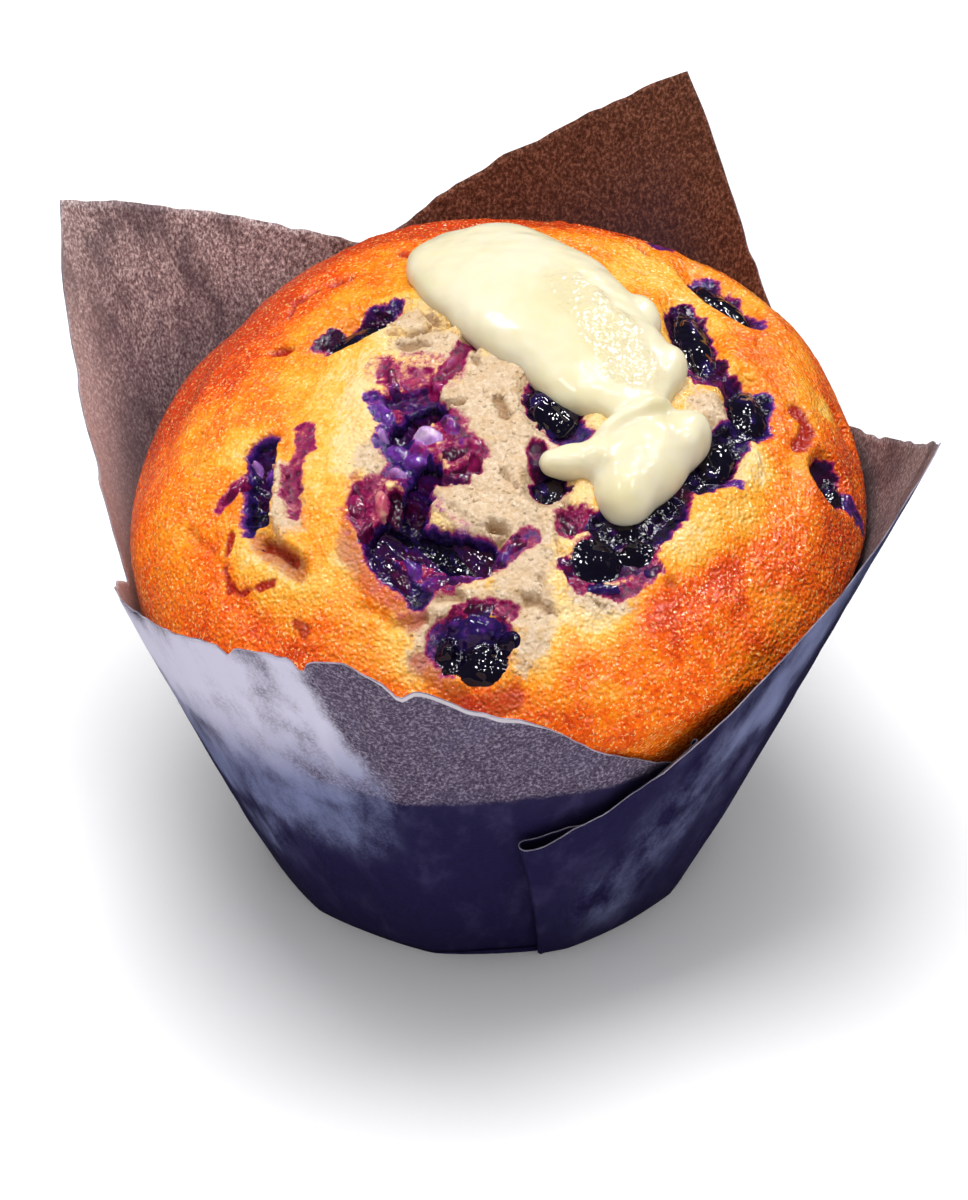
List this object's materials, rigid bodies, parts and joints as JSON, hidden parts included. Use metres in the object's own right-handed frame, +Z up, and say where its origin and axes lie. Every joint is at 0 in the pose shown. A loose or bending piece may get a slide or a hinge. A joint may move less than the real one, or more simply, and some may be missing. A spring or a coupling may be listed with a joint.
{
  "type": "berry muffin in a paper case",
  "caption": "Baked muffin with a domed, split crown, dark berries and a smear of butter, standing in a folded tulip-shaped paper case.",
  "frame": {"origin": "middle of the flat base of the paper case, on the surface it stands on", "axes": "+Z up, +X right and -Y to the front, where the paper's pleat is"},
  "size_m": [0.0952, 0.096, 0.0691],
  "materials": {
    "paper": "dark waxed baking paper, browner and paler where it stands dry",
    "crust": "golden baked crust with a slight oily gloss, cream crumb where it is torn",
    "berry": "wet, wrinkled dark berry skin",
    "butter": "soft pale butter with a moist gloss"
  },
  "bodies": {
    "root": {"paper_case": "paper", "muffin": "crust", "butter": "butter", "berry_left": "berry", "berry_upper_left": "berry", "berry_split_top": "berry", "berry_split_middle": "berry", "berry_split_side": "berry", "berry_split_low": "berry", "berry_front": "berry", "berry_wide": "berry", "berry_middle": "berry", "berry_hidden": "berry", "berry_right_long": "berry", "berry_right_turn": "berry", "berry_right_low": "berry", "berry_back_right": "berry", "berry_edge": "berry", "berry_back": "berry"}
  },
  "joints": []
}
